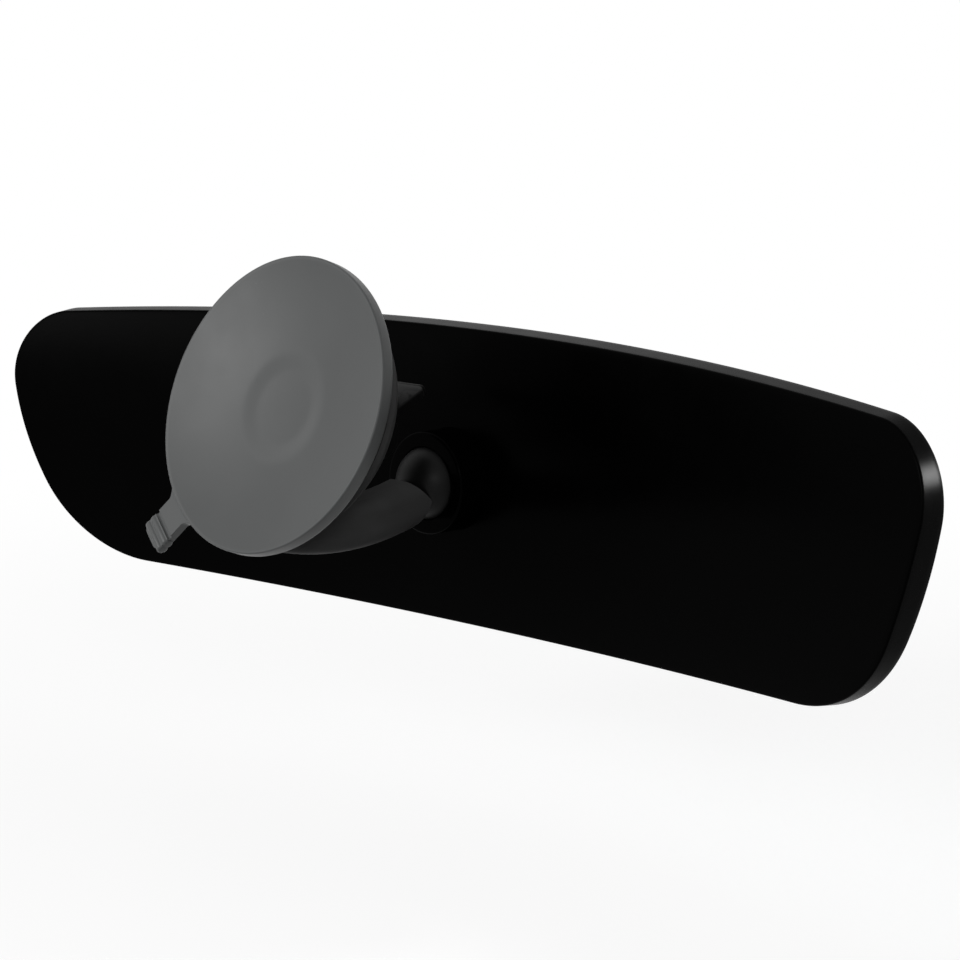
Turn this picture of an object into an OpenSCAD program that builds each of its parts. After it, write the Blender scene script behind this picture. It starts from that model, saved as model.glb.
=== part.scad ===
// Bowed panoramic rearview mirror on a suction cup with a cam lever lock.
// Frame: origin at the centre of the cup's sealing plane, X along the glass,
// Y towards the driver, Z up. All lengths are millimetres, all angles degrees.

/* [Head] */
// Width of the outline between its sharp top corners
head_w = 287; // [260:1:300]
// Height of the outline at its middle
head_h = 69; // [64:1:74]
// Rise of the top edge between its corners
top_rise = 6.8; // [5:0.2:8]
// Drop of the bottom edge between its corners
bottom_drop = 1.5; // [1.2:0.1:3]
// Lean of the two ends
end_lean = 18.4; // [15:0.2:21]
// Outward bow of the two ends
end_bow = 5.2; // [4:0.2:6]
// Radius of the two top corners
top_corner_r = 16.5; // [14:0.5:20]
// Radius of the two bottom corners
bottom_corner_r = 34; // [28:0.5:35]
// Radius of the glass side's bow in plan
bow_r = 510; // [450:10:560]
// Radius of the back's bow in plan
back_bow_r = 600; // [570:10:700]
// Depth of the shell at the middle of its top and bottom edges
edge_depth = 6.1; // [6:0.1:7]
// Depth of the shell at its middle
mid_depth = 10.2; // [9.8:0.1:10.8]
// Thickness of the shell's back
back_t = 1.8; // [1.5:0.1:2]
// Thickness of the rim around the glass
rim_t = 1.5; // [1.2:0.1:2]
// Width of the ledge behind the glass
ledge_w = 1.6; // [1.2:0.1:2.4]
// Spacing of the stiffening ribs
rib_pitch = 36; // [28:1:44]
// Thickness of the stiffening ribs
rib_t = 1.4; // [1:0.1:2]

/* [Glass] */
// Thickness of the mirror glass
glass_t = 2; // [1.8:0.1:2.2]
// Setback of the glass behind the rim
glass_recess = 0.3; // [0.1:0.1:0.6]
// Gap between the glass edge and the rim
glass_gap = 0.25; // [0.1:0.05:0.4]
// Thickness of the shatter film on the back of the glass
film_t = 0.2; // [0.1:0.05:0.3]
// Thickness of the foam bonding sheet
pad_t = 0.8; // [0.6:0.1:1]

/* [Ball joint] */
// Distance of the ball centre from the sealing plane's centre, towards the driver
ball_reach = 48.6; // [46:0.2:54]
// Distance of the ball centre below the sealing plane's centre
ball_drop = 22.6; // [20:0.2:25]
// Radius of the ball
ball_r = 8.5; // [8:0.1:9]
// Radius of the ball's neck
neck_r = 3.2; // [2.8:0.1:3.6]
// Slope of the neck below the horizontal
neck_slope = 18; // [14:1:22]
// Thickness of the two plastic liners
liner_t = 1.1; // [0.9:0.1:1.3]
// Running gap on each side of a liner
liner_gap = 0.06; // [0.03:0.01:0.1]
// Wall of the socket collar
collar_wall = 1.9; // [1.6:0.1:2.2]
// Reach of the collar's lip past the ball centre
lip_reach = 2.8; // [2.6:0.1:3.2]
// Thickness of the collar's lip
lip_t = 1; // [0.8:0.1:1.2]
// Gap between the lip and the ball
lip_gap = 0.15; // [0.1:0.05:0.25]
// Radius of the socket's flange
flange_r = 17.5; // [17:0.5:19]
// Thickness of the socket's flange
flange_t = 2.2; // [2:0.1:2.4]
// Thickness of the retainer plate
plate_t = 1; // [0.8:0.1:1.2]
// Radius of the hole in the disc spring
spring_hole_r = 3.6; // [3.2:0.1:4.2]
// Thickness of the disc spring
spring_t = 0.5; // [0.4:0.05:0.6]
// Height of the disc spring's cone
spring_rise = 1.4; // [1.2:0.1:1.6]
// Radius of the screw circle in the socket's flange
screw_circle_r = 14.6; // [14.4:0.1:15]
// Radius of the socket screws
screw_r = 0.95; // [0.8:0.05:1.1]
// Height of the socket screws' heads
screw_head_h = 0.9; // [0.7:0.1:1]
// Depth of the socket screws in the shell's seat
screw_grip = 1.8; // [1.6:0.1:2]
// Swing of the ball joint to each side that the liners leave free
swing = 21; // [18:1:22]

/* [Arm] */
// Radius of the arm's bend
arm_bend_r = 70; // [66:1:80]
// Slope of the arm at the ball
arm_slope = 24.5; // [22:0.5:27]
// Width of the arm
arm_w = 11; // [10:0.5:12]
// Height of the arm
arm_h = 10.8; // [10:0.2:12]
// Distance of the arm's slanted end behind the ball centre
arm_end_drop = 5.95; // [5.6:0.05:6.4]
// Slant of the arm's end from upright
arm_end_slant = 48.7; // [40:0.1:55]
// Radius of the arm's upper edges
arm_top_r = 2; // [1.5:0.1:3]
// Radius of the arm's lower edges
arm_low_r = 4.2; // [3:0.1:5]
// Distance of the joint between arm and housing from the sealing plane
stub_s = 20.5; // [20:0.1:21]
// Radius of the ball stud's stem
stem_r = 2.4; // [2:0.1:2.6]
// Length of the ball stud from the ball centre
stud_len = 19; // [17:0.5:21]
// Radius of the arm's screws
arm_screw_r = 1.2; // [1:0.1:1.4]
// Radius of the arm screws' heads
arm_screw_head_r = 2.1; // [1.8:0.1:2.3]
// Height of the arm screws' heads
arm_screw_head_h = 1.6; // [1.2:0.1:2]
// Thickness of the stub under the arm screws' heads
arm_screw_seat = 4.5; // [4:0.1:5]
// Depth of the arm's screws in the arm
arm_screw_grip = 8; // [6:0.5:10]

/* [Suction cup] */
// Radius of the cup
cup_r = 32.5; // [31:0.5:34]
// Tilt of the cup's axis above the horizontal
cup_pitch = 19.5; // [18:0.5:22]
// Width of the flat sealing rim
seal_w = 1.5; // [1.2:0.1:3]
// Depth of the hollow at the cup's middle
cup_hollow = 4.5; // [4:0.1:5]
// Thickness of the cup at its edge
cup_edge_t = 3.2; // [3:0.1:3.6]
// Height of the cup's back around its boss
cup_back_h = 10; // [9.6:0.1:10.4]
// Radius of the raised part of the cup's back
cup_back_r = 14; // [13:0.5:16]
// Radius of the boss around the stem
boss_r = 8.5; // [8:0.5:9.5]
// Height of the boss around the stem
boss_h = 12.4; // [12:0.1:12.8]
// Width of the pull tab
tab_w = 7.6; // [7:0.2:10]
// Thickness of the pull tab
tab_t = 2; // [1.8:0.1:2.4]
// Setback of the pull tab behind the sealing plane
tab_s = 0.8; // [0.6:0.1:1]
// Length of the pull tab past the cup's edge
tab_len = 11; // [10:0.5:14]
// Turn of the pull tab from straight down
tab_turn = 40; // [30:1:45]
// Distance of the fold groove from the cup's edge
fold_at = 6.2; // [5:0.1:6.4]
// Radius of the fold groove
fold_r = 0.6; // [0.4:0.05:0.7]
// Radius of the ribs on the pull tab's end
rib_r = 1.25; // [1.1:0.05:1.4]
// Spacing of the ribs on the pull tab's end
grip_pitch = 1.8; // [1.6:0.1:2]

/* [Base housing] */
// Radius of the housing's rim
housing_r = 26.5; // [26:0.5:29]
// Wall of the housing
housing_wall = 2.2; // [2:0.1:2.5]
// Bulge of the housing's flank
housing_bulge = 1.5; // [1:0.1:2]
// Radius of the housing's flat top
housing_top_r = 12.5; // [12:0.5:13.5]
// Thickness of the housing's top
top_wall = 2.5; // [2.2:0.1:2.8]
// Height of the straight band at the housing's rim
rim_h = 1.5; // [1.2:0.1:1.8]
// Wall of the guide around the stem
guide_wall = 3; // [2.4:0.1:3.2]
// Radius of the stem
post_r = 4.5; // [4.2:0.1:4.8]
// Running gap between the stem and the housing
post_gap = 0.1; // [0.05:0.05:0.2]
// Radius of the stem's disc inside the rubber
disc_r = 10; // [9:0.5:11]
// Thickness of the stem's disc
disc_t = 2; // [1.8:0.1:2.2]
// Thickness of the wear washer under the cam
washer_t = 0.8; // [0.6:0.1:1]

/* [Lever] */
// Distance of the lever pin from the sealing plane
pin_s = 26.8; // [26.4:0.1:27.6]
// Radius of the lever pin
pin_r = 1.5; // [1.3:0.1:1.7]
// Running gap between the pin and the stem
pin_gap = 0.05; // [0.03:0.01:0.1]
// Radius of the lever's hub, and the cam's height when released
hub_r = 5; // [4.8:0.1:5.2]
// Travel that the cam gives the housing
lock_travel = 2.5; // [2:0.1:2.5]
// Turn of the lever from released to locked
lock_turn = 55; // [50:1:58]
// Angle of the released handle above the cup's axis
handle_angle = 43; // [40:1:46]
// Length of the handle from the pin
handle_len = 16; // [14:0.5:18]
// Thickness of the handle
handle_t = 2; // [1.8:0.1:2.4]
// Setback of the handle's upper face from the hub's edge
handle_drop = 1.4; // [1.2:0.1:1.6]
// Radius of the finger lip at the handle's end
finger_r = 1.4; // [1.2:0.1:1.6]
// Width of the lever
lever_w = 16; // [15:0.5:18]
// Thickness of the stem between the lever's cheeks
blade_t = 6; // [5.4:0.2:6.4]

/* [Fits] */
// Gap between pieces that move past each other
move_gap = 0.3; // [0.2:0.05:0.4]
// Gap between pieces that are slipped together
slip_gap = 0.1; // [0.05:0.05:0.15]

/* [Hidden] */
$fn = 96;
long_fn = 720;
// Excess of the corner arcs over touching ones, so that the arcs cross cleanly
corner_ease = 0.06;

// Colours
shell_black = "#0c0c0d";
arm_grey = "#2b2c2d";
rubber_grey = "#5c5e60";
nylon_white = "#d8d6cf";
steel = "#b4b6b8";
mirror_silver = "#c9d2d8";
foam_grey = "#3a3a3b";

// Plane geometry
function unit(v) = v / norm(v);
function turned(v) = [-v[1], v[0]];
function arc_radius(chord, rise) = (chord * chord / 4 + rise * rise) / (2 * rise);
// Centre of the arc from a to b that bulges to the right of the line by rise
function arc_centre(a, b, rise) =
    (a + b) / 2 + (arc_radius(norm(b - a), rise) - rise) * turned(unit(b - a));
// Point at distance ra from a and rb from b, on the left (1) or right (-1) of the line from a to b
function meet(a, ra, b, rb, side) =
    let (d = norm(b - a), t = (d * d + ra * ra - rb * rb) / (2 * d))
    a + t * unit(b - a) + side * sqrt(ra * ra - t * t) * turned(unit(b - a));
// Point where the line through p along d crosses the line through q along e
function crossing(p, d, q, e) = p + d * cross(q - p, e) / cross(d, e);

// Head outline: four long arcs and four corner arcs that touch them
top_corner = [head_w / 2, head_h / 2 - top_rise];
low_corner = [head_w / 2 - head_h * tan(end_lean), bottom_drop - head_h / 2];
top_arc_r = arc_radius(head_w, top_rise);
low_arc_r = arc_radius(2 * low_corner[0], bottom_drop);
end_arc_r = arc_radius(norm(top_corner - low_corner), end_bow);
top_arc_c = [0, head_h / 2 - top_arc_r];
low_arc_c = [0, low_arc_r - head_h / 2];
end_arc_c = arc_centre(low_corner, top_corner, end_bow);
top_round_c = meet(top_arc_c, top_arc_r - top_corner_r, end_arc_c, end_arc_r - top_corner_r, -1);
low_round_c = meet(low_arc_c, low_arc_r - bottom_corner_r, end_arc_c, end_arc_r - bottom_corner_r, 1);

// Depths behind the front of the rim
glass_back = glass_recess + glass_t;
film_back = glass_back + film_t;
pad_back = film_back + pad_t;
wall_t = rim_t + ledge_w;
crown_r = arc_radius(head_h, mid_depth - edge_depth);
// Sweep that takes the bowed surfaces past both ends
spare_sweep = 6;
bow_sweep = 2 * asin(head_w / 2 / (bow_r - mid_depth)) + spare_sweep;
// Depth by which one cut runs into another
bite = 0.2;

// Ball joint stack, measured from the ball centre towards the glass
liner_in_r = ball_r + liner_gap;
liner_out_r = liner_in_r + liner_t;
pocket_r = liner_out_r + liner_gap;
collar_r = pocket_r + collar_wall;
mouth_r = sqrt(pow(ball_r + lip_gap, 2) - lip_reach * lip_reach);
ring_top = slip_gap;
seat_spare = 2;
seat_edge = liner_out_r * sin(swing + seat_spare);
spring_foot = sqrt(liner_out_r * liner_out_r - spring_hole_r * spring_hole_r) + slip_gap;
spring_r = pocket_r - 3 * slip_gap;
socket_front = spring_foot + spring_rise + spring_t + slip_gap;
flange_back = socket_front - flange_t;
plate_front = socket_front + plate_t;
head_clear = 0.35;
head_front = plate_front + screw_head_h + head_clear + film_back;
back_face = head_front - mid_depth;
screw_tip = flange_back - screw_grip;
screw_head_r = 2 * screw_r;
seat_rim = 1;
pad_hole_r = flange_r + 2 * seat_rim;

// Arm
arm_c = [ball_reach - arm_bend_r * sin(arm_slope), arm_bend_r * cos(arm_slope) - ball_drop];
arm_clear_r = norm([collar_r, lip_reach]) + move_gap;
neck_len = sqrt(arm_clear_r * arm_clear_r - neck_r * neck_r);
// Angle around the socket's axis that the swinging lip leaves free, with a little to spare
mouth_spare = 2.5;
mouth_free = atan2(mouth_r, lip_reach) - swing - mouth_spare;
arm_screw_x = arm_w / 4;
// Angle of the joint between arm and housing, behind the bend's lowest point
arm_root = cup_pitch - asin((stub_s - arm_c[0] * cos(cup_pitch) + arm_c[1] * sin(cup_pitch)) / arm_bend_r);
stub_sweep = 12;

// Cup, housing and lever, measured behind the sealing plane along the cup's axis
seal_r = cup_r - seal_w;
hollow_r = arc_radius(2 * seal_r, cup_hollow);
disc_s = cup_hollow + (cup_back_h - cup_hollow - disc_t) / 2 + move_gap;
function cup_back(r) = cup_edge_t + (cup_back_h - cup_edge_t) * (cup_r - r) / (cup_r - cup_back_r);
rim_s = cup_back(housing_r - housing_wall) + lock_travel + move_gap;
cam_gap = 0.06;
washer_s = pin_s - hub_r - cam_gap - washer_t;
washer_edge = 1.2;
washer_r = housing_top_r - washer_edge;
flank_low = [housing_r, rim_s + rim_h];
flank_top = [housing_top_r, washer_s];
flank_c = arc_centre(flank_low, flank_top, housing_bulge);
flank_r = arc_radius(norm(flank_top - flank_low), housing_bulge);
guide_r = post_r + guide_wall;
guide_s = boss_h + lock_travel + move_gap;
flat_spare = 1.2;
flat_s = pin_s - hub_r - lock_travel - flat_spare;
cheek_x = blade_t / 2 + move_gap;
cam_rate = lock_travel / lock_turn * 180 / PI;
tab_round_r = tab_w / 4;
rib_spare = 0.6;
handle_top = hub_r - handle_drop;

// Placing
module at_ball() translate([0, ball_reach, -ball_drop]) children();
module along_y() rotate([-90, 0, 0]) children();
// Local axes on the cup: X along the row's X, Y down the sealing plane, Z away from the glass
module on_cup() rotate([-90 - cup_pitch, 0, 0]) children();
// Plane of the lever: its X runs away from the glass, its Y up the cup
module on_lever() on_cup() translate([0, 0, pin_s]) rotate([180, -90, 0]) children();
// Plane of the arm's bend: angle 0 is its lowest point, positive angles lie towards the ball
module on_bend(angle) {
    translate([0, arm_c[0], arm_c[1]]) rotate([0, 90, 0]) rotate([0, 0, angle]) children();
}
module both_ends() for (side = [0, 1]) mirror([side, 0]) children();
module screw_places() {
    for (i = [0:2]) rotate([0, 0, 90 + 120 * i]) translate([screw_circle_r, 0, 0]) children();
}
// Places of the arm's screws: Z points along the arm from its root towards the ball
module arm_screw_places() {
    for (side = [-1, 1]) on_bend(-arm_root) translate([arm_bend_r, 0, side * arm_screw_x]) rotate([-90, 0, 0])
        children();
}

// What a corner arc of radius r around c takes off the corner between the arcs around a and b
module corner_waste(c, r, a, b) {
    reach = 50;
    da = unit(c - a);
    db = unit(c - b);
    tip = crossing(c + reach * da, turned(da), c + reach * db, turned(db));
    difference() {
        polygon([c, c + reach * da, tip, c + reach * db]);
        translate(c) circle(r + corner_ease);
    }
}

// Everything on the inner side of the right end's arc
module end_limit(inset) {
    translate(end_arc_c) circle(end_arc_r - inset, $fn = long_fn);
    translate([-head_w, -head_h]) square([head_w + end_arc_c[0], 2 * head_h]);
}

// Outline of the head, moved inwards by inset
module head_outline(inset = 0) {
    difference() {
        intersection() {
            translate(top_arc_c) circle(top_arc_r - inset, $fn = long_fn);
            translate(low_arc_c) circle(low_arc_r - inset, $fn = long_fn);
            end_limit(inset);
            mirror([1, 0]) end_limit(inset);
        }
        both_ends() corner_waste(top_round_c, top_corner_r - inset, top_arc_c, end_arc_c);
        both_ends() corner_waste(low_round_c, bottom_corner_r - inset, low_arc_c, end_arc_c);
    }
}

// Straight block of the outline, deep enough for the whole head
module outline_block(inset = 0) {
    depth = 4 * mid_depth + head_w * head_w / 8 / bow_r;
    translate([0, head_front + mid_depth, 0]) rotate([90, 0, 0])
        linear_extrude(depth + mid_depth) head_outline(inset);
}

// Revolves a profile of radius and height around an upright axis behind the head
module bowed(axis) {
    translate([0, axis, 0]) rotate([0, 0, 90 - bow_sweep / 2])
        rotate_extrude(angle = bow_sweep, $fn = long_fn) children();
}

// Layer of the head between two depths behind the rim
module layer(inset, front, back) {
    intersection() {
        outline_block(inset);
        bowed(head_front - bow_r) translate([bow_r - back, -head_h]) square([back - front, 2 * head_h]);
    }
}

// Body of the head from its back, bowed in plan and crowned in height, up to a depth behind the rim
module crowned(inset, front, back) {
    intersection() {
        layer(inset, front, 2 * back);
        bowed(head_front - back - back_bow_r)
            translate([back_bow_r + crown_r, 0]) circle(crown_r, $fn = long_fn);
    }
}

// Ribs and the round seat that stay standing in the shell's hollow
module shell_stiffeners() {
    for (i = [1:floor((head_w / 2 - top_corner_r) / rib_pitch)]) for (side = [-1, 1])
        translate([side * i * rib_pitch - rib_t / 2, -head_w, -head_h]) cube([rib_t, 2 * head_w, 2 * head_h]);
    translate([-head_w, -head_w, -rib_t / 2]) cube([2 * head_w, 2 * head_w, rib_t]);
}

module back_shell() color(shell_black) at_ball() difference() {
    crowned(0, 0, mid_depth);
    layer(rim_t, -mid_depth, pad_back);
    difference() {
        crowned(wall_t, pad_back - bite, mid_depth - back_t);
        difference() {
            shell_stiffeners();
            along_y() cylinder(r = pad_hole_r, h = head_front);
        }
        along_y() cylinder(r = flange_r + seat_rim, h = flange_back);
    }
    along_y() translate([0, 0, -mid_depth]) cylinder(r = collar_r + slip_gap, h = mid_depth + head_front);
    along_y() screw_places() translate([0, 0, screw_tip - slip_gap])
        cylinder(r = screw_r + slip_gap / 2, h = head_front);
}

module mirror_glass() color(mirror_silver) at_ball() layer(rim_t + glass_gap, glass_recess, glass_back);

module backing_film() color(foam_grey) at_ball() layer(rim_t + glass_gap, glass_back, film_back);

module glass_pad() color(foam_grey) at_ball() difference() {
    layer(rim_t + 2 * glass_gap, film_back, pad_back);
    along_y() cylinder(r = pad_hole_r, h = 2 * head_front);
}

module socket_housing() color(shell_black) at_ball() along_y() difference() {
    rotate_extrude() difference() {
        union() {
            translate([0, -lip_reach]) square([collar_r, lip_reach + socket_front]);
            translate([0, flange_back]) square([flange_r, flange_t]);
        }
        circle(ball_r + lip_gap);
        intersection() {
            circle(pocket_r);
            translate([0, lip_t - lip_reach]) square(2 * pocket_r);
        }
        square([pocket_r, 2 * socket_front]);
        translate([0, -2 * lip_reach]) square([mouth_r, lip_t + lip_reach]);
    }
    screw_places() cylinder(r = screw_r + slip_gap, h = 2 * socket_front);
}

// Spherical liner between two heights along the ball's axis
module liner(low, high) {
    along_y() rotate_extrude() intersection() {
        difference() {
            circle(liner_out_r);
            circle(liner_in_r);
        }
        translate([0, low]) square([2 * liner_out_r, high - low]);
    }
}

module socket_ring() color(nylon_white) at_ball() liner(lip_t - lip_reach + slip_gap, -ring_top);

module socket_seat() color(nylon_white) at_ball() liner(seat_edge, 2 * liner_out_r);

module spring_washer() color(steel) at_ball() along_y() rotate_extrude() polygon([
    [spring_hole_r, spring_foot],
    [spring_r, spring_foot + spring_rise],
    [spring_r, spring_foot + spring_rise + spring_t],
    [spring_hole_r, spring_foot + spring_t]]);

module retainer_plate() color(steel) at_ball() along_y() difference() {
    translate([0, 0, socket_front]) cylinder(r = flange_r, h = plate_t);
    cylinder(r = spring_hole_r, h = 2 * plate_front);
    screw_places() cylinder(r = screw_r + slip_gap, h = 2 * plate_front);
}

module retainer_screws() color(steel) at_ball() along_y() screw_places() {
    difference() {
        translate([0, 0, plate_front]) cylinder(r = screw_head_r, h = screw_head_h);
        for (turn = [0, 90]) rotate([0, 0, turn])
            translate([-screw_r, -screw_r / 4, plate_front + screw_head_h / 2])
            cube([2 * screw_r, screw_r / 2, screw_head_h]);
    }
    translate([0, 0, screw_tip]) cylinder(r = screw_r, h = plate_front - screw_tip);
}

module ball_stud() color(arm_grey) at_ball() {
    sphere(ball_r);
    stud();
}

// Cross-section of the arm, its top towards the bend's axis
module arm_section() {
    half = arm_w / 2;
    translate([arm_bend_r - arm_h / 2, -half + arm_top_r]) square([arm_h - arm_low_r, arm_w - 2 * arm_top_r]);
    translate([arm_bend_r - arm_h / 2 + arm_top_r, -half]) square([arm_h - arm_top_r - arm_low_r, arm_w]);
    translate([arm_bend_r, -half + arm_low_r]) square([arm_h / 2, arm_w - 2 * arm_low_r]);
    for (side = [-1, 1]) {
        translate([arm_bend_r - arm_h / 2 + arm_top_r, side * (half - arm_top_r)]) circle(arm_top_r);
        translate([arm_bend_r + arm_h / 2 - arm_low_r, side * (half - arm_low_r)]) circle(arm_low_r);
    }
}

// Room that the collar needs as it swings around the ball
module collar_sweep() {
    far = 2 * arm_clear_r;
    along_y() rotate_extrude() intersection() {
        circle(arm_clear_r);
        polygon([[0, 0], far * [sin(mouth_free), -cos(mouth_free)], [far, 0], [far, far], [0, far]]);
    }
}

// Ball stud without its ball
module stud() {
    rotate([90 + neck_slope, 0, 0]) {
        cylinder(r = neck_r, h = neck_len);
        cylinder(r = stem_r, h = stud_len);
    }
}

module arm() color(arm_grey) difference() {
    on_bend(-arm_root) rotate_extrude(angle = arm_slope + arm_root, $fn = long_fn) arm_section();
    at_ball() {
        collar_sweep();
        sphere(ball_r + slip_gap);
        stud();
        rotate([arm_end_slant, 0, 0]) translate([-arm_w, -arm_end_drop, -2 * arm_w]) cube(4 * arm_w);
    }
    arm_screw_places() cylinder(r = arm_screw_r, h = arm_screw_grip);
}

// Solid inside of a curved flank, from the rim to a height
module flank_profile(rim, low, high, radius) {
    intersection() {
        translate([0, low]) square([rim, high - low]);
        translate(flank_c) circle(radius);
    }
}

module base_housing() color(arm_grey) difference() {
    union() {
        on_cup() rotate_extrude() flank_profile(housing_r, rim_s, washer_s, flank_r);
        intersection() {
            on_bend(-arm_root - stub_sweep) rotate_extrude(angle = stub_sweep, $fn = long_fn) arm_section();
            on_cup() translate([-cup_r, 0, rim_s + rim_h]) cube(2 * cup_r);
        }
    }
    on_cup() rotate_extrude() difference() {
        flank_profile(housing_r - housing_wall, rim_s - 1, washer_s - top_wall, flank_r - housing_wall);
        translate([0, guide_s]) square([guide_r, washer_s]);
    }
    on_cup() cylinder(r = post_r + post_gap, h = pin_s);
    arm_screw_places() {
        translate([0, 0, -arm_screw_grip - arm_screw_seat])
            cylinder(r = arm_screw_head_r + slip_gap, h = arm_screw_grip);
        translate([0, 0, -arm_screw_grip]) cylinder(r = arm_screw_r + slip_gap, h = 2 * arm_screw_grip);
    }
}

module arm_screws() color(steel) arm_screw_places() {
    translate([0, 0, -arm_screw_seat - arm_screw_head_h])
        cylinder(r = arm_screw_head_r, h = arm_screw_head_h);
    translate([0, 0, -arm_screw_seat]) cylinder(r = arm_screw_r, h = arm_screw_seat + arm_screw_grip);
}

module cam_washer() color(steel) on_cup() difference() {
    translate([0, 0, washer_s]) cylinder(r = washer_r, h = washer_t);
    cylinder(r = post_r + post_gap, h = 2 * pin_s);
}

module stem_disc() translate([0, 0, disc_s]) cylinder(r = disc_r, h = disc_t);

// Outline of the pull tab from the cup's axis outwards
module tab_outline() {
    tip = cup_r + tab_len;
    half = tab_w / 2;
    translate([0, -half]) square([tip - tab_round_r, tab_w]);
    translate([0, tab_round_r - half]) square([tip, tab_w - 2 * tab_round_r]);
    for (side = [-1, 1]) translate([tip - tab_round_r, side * (half - tab_round_r)]) circle(tab_round_r);
}

// Pull tab with a fold groove and two ribs across its end
module pull_tab() {
    rotate([0, 0, 90 + tab_turn]) difference() {
        union() {
            translate([0, 0, tab_s]) linear_extrude(tab_t) tab_outline();
            for (i = [0, 1]) translate([cup_r + tab_len - rib_r - i * grip_pitch, 0, tab_s + tab_t / 2])
                rotate([90, 0, 0]) cylinder(r = rib_r, h = tab_w + rib_spare, center = true);
        }
        translate([cup_r + fold_at, 0, tab_s]) rotate([90, 0, 0])
            cylinder(r = fold_r, h = 2 * tab_w, center = true);
    }
}

module suction_cup() color(rubber_grey) on_cup() difference() {
    union() {
        rotate_extrude() polygon([[0, 0], [cup_r, 0], [cup_r, cup_edge_t], [cup_back_r, cup_back_h],
            [boss_r, cup_back_h], [boss_r, boss_h], [0, boss_h]]);
        pull_tab();
    }
    translate([0, 0, cup_hollow - hollow_r]) sphere(hollow_r, $fn = 360);
    stem_disc();
    translate([0, 0, disc_s]) cylinder(r = post_r, h = boss_h);
}

module cup_stem() color(arm_grey) difference() {
    union() {
        on_cup() stem_disc();
        on_cup() translate([0, 0, disc_s]) cylinder(r = post_r, h = pin_s - disc_s);
        on_lever() cylinder(r = post_r, h = 2 * post_r, center = true);
    }
    on_cup() for (side = [-1, 1]) translate([side * (blade_t / 2 + post_r) - post_r, -cup_r, flat_s])
        cube([2 * post_r, 2 * cup_r, pin_s]);
    on_lever() cylinder(r = pin_r + pin_gap, h = lever_w, center = true);
}

module lever_pin() color(steel) on_lever() cylinder(r = pin_r, h = lever_w, center = true);

// Cam whose height above the washer grows evenly with the turn
function cam_height(angle) = hub_r + lock_travel * (180 - angle) / lock_turn;
function ray(angle) = [cos(angle), sin(angle)];
function cam_point(angle) = cam_height(angle) * ray(angle) - cam_rate * turned(ray(angle));

// Bar along the handle between two lengths from the pin
module handle_bar(from, to) {
    rotate(handle_angle) translate([from, handle_top - handle_t]) square([to - from, handle_t]);
}

module cheek_profile() {
    step = 5;
    circle(hub_r);
    polygon([[0, 0], for (angle = [180 - lock_turn - step:step:180 + step]) cam_point(angle)]);
    polygon([[0, 0], cam_point(180 - lock_turn - step),
        handle_top * turned(ray(handle_angle)) + hub_r * ray(handle_angle)]);
    handle_bar(0, handle_len - finger_r);
}

module cam_lever() color(arm_grey) on_lever() difference() {
    union() {
        for (side = [0, 1]) mirror([0, 0, side]) translate([0, 0, cheek_x])
            linear_extrude(lever_w / 2 - cheek_x) cheek_profile();
        linear_extrude(lever_w, center = true) handle_bar(post_r + finger_r, handle_len);
        rotate(handle_angle) translate([handle_len, handle_top - finger_r, 0])
            cylinder(r = finger_r, h = lever_w, center = true);
    }
    cylinder(r = pin_r, h = 2 * lever_w, center = true);
}

back_shell();
mirror_glass();
backing_film();
glass_pad();
socket_housing();
socket_ring();
socket_seat();
spring_washer();
retainer_plate();
retainer_screws();
ball_stud();
arm();
base_housing();
arm_screws();
cam_washer();
suction_cup();
cup_stem();
lever_pin();
cam_lever();
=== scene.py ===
"""Looks of a wide bowed rearview mirror on a suction cup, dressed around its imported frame."""

import logging
import math
from dataclasses import dataclass, field
from enum import Enum
from typing import Callable, Iterable, Sequence

import bpy
from mathutils import Matrix, Vector

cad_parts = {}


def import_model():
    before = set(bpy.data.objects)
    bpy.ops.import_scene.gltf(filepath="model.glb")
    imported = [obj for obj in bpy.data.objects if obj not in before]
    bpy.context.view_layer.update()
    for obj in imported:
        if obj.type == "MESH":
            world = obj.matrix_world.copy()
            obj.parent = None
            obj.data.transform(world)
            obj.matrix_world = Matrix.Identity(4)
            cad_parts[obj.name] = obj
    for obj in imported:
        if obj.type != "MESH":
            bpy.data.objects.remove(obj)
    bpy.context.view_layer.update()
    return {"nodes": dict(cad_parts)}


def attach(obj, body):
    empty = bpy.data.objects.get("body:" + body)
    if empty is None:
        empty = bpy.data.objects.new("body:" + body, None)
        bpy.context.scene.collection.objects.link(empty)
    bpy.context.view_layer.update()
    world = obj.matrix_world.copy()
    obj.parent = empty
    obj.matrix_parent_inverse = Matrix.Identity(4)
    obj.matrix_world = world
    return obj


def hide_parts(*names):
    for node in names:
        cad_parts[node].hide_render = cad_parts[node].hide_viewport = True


log = logging.getLogger("mirror")

Point2 = tuple[float, float]
Point3 = tuple[float, float, float]
Colour = tuple[float, float, float]
Piece = bpy.types.Object
Material = bpy.types.Material
Socket = bpy.types.NodeSocket
Tree = bpy.types.NodeTree

MM = 0.001
# Centre of the ball in millimetres, which head, collar and arm share
BALL: Point3 = (0.0, 48.6, -22.6)
# Tilt of the cup's axis in degrees
CUP_PITCH = 19.5
# Range that a noise texture mostly covers
NOISE_BAND = (0.3, 0.7)
ROD_SIDES = 32


class Body(Enum):
    """Bodies of the frame that the pieces ride on."""

    CUP = "cup"
    BASE = "base"
    LEVER = "lever"
    HEAD = "head"


class Slot(Enum):
    """Material slots of the record."""

    GLOSS_BLACK = "gloss_black"
    DARK_PLASTIC = "dark_plastic"
    RUBBER = "rubber"


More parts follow.
